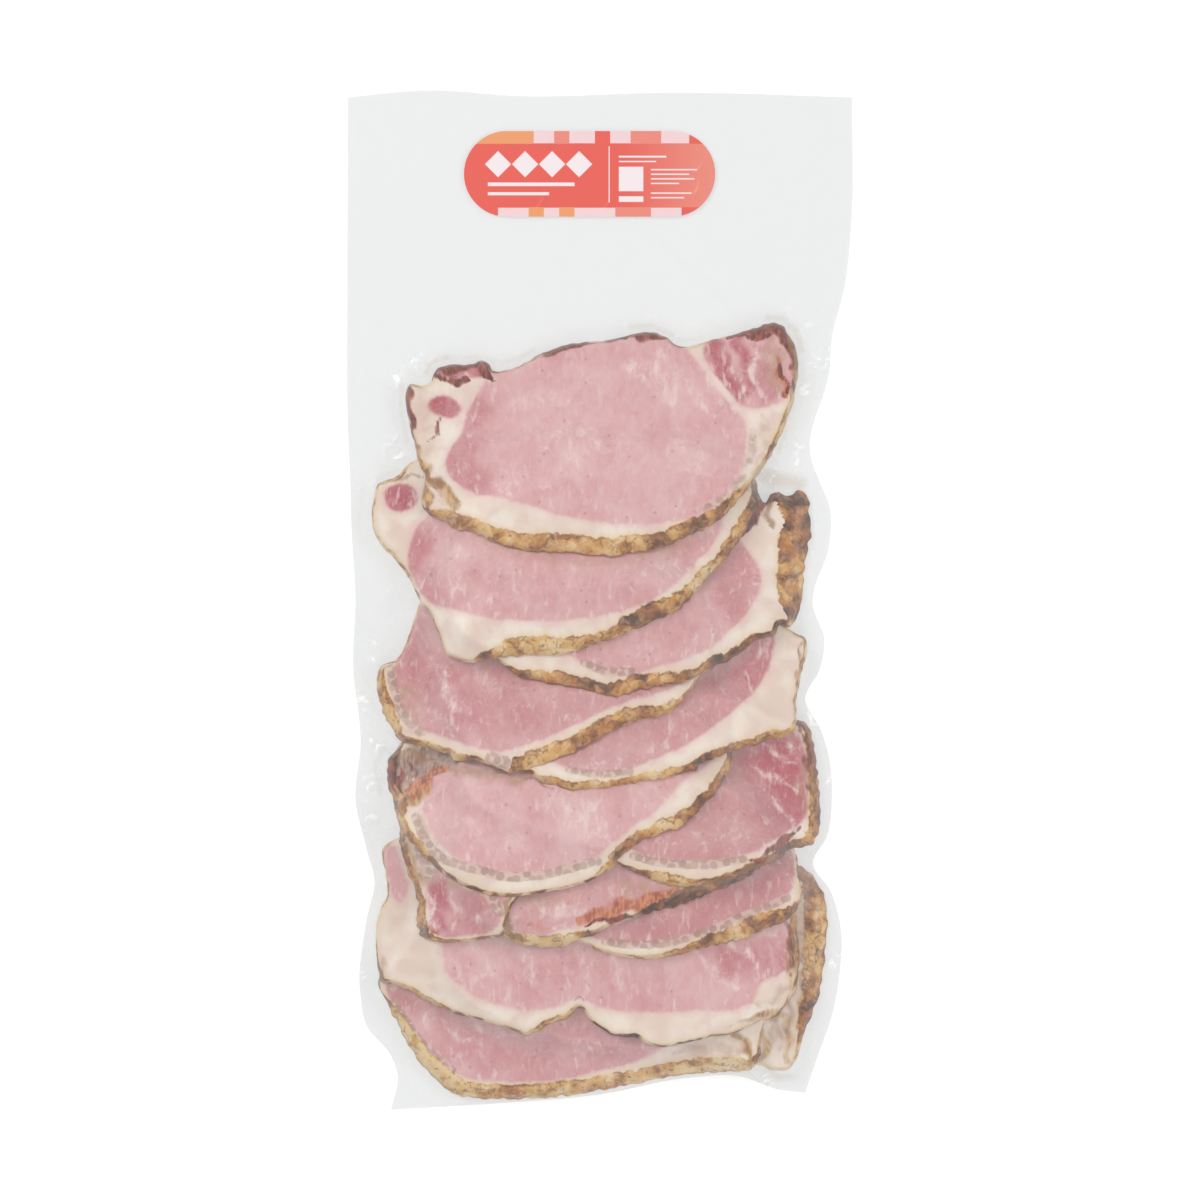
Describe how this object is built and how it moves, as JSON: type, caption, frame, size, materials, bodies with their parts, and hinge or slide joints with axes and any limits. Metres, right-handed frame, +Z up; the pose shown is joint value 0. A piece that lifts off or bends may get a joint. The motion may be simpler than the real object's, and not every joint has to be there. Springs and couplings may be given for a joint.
{
  "type": "pack of sliced smoked pork loin",
  "caption": "Clear vacuum pouch lying flat, shrunk over shingled slices of smoked pork loin, with an empty header that carries a rounded strip label.",
  "frame": {"origin": "under the middle of the pack, on the surface it lies on", "axes": "+Z up through the pack, +Y from the slices to the empty header with the label, +X to the pack's right"},
  "size_m": [0.1986, 0.4, 0.0329],
  "materials": {
    "clear_film": "clear glossy vacuum film, creased where it is drawn in",
    "smoked_pork": "moist cooked and smoked meat: pink lean, cream fat and golden brown rind",
    "printed_label": "coral red printed label with plain white bars"
  },
  "bodies": {
    "root": {"pouch": "clear_film", "label": "printed_label"}
  },
  "joints": []
}
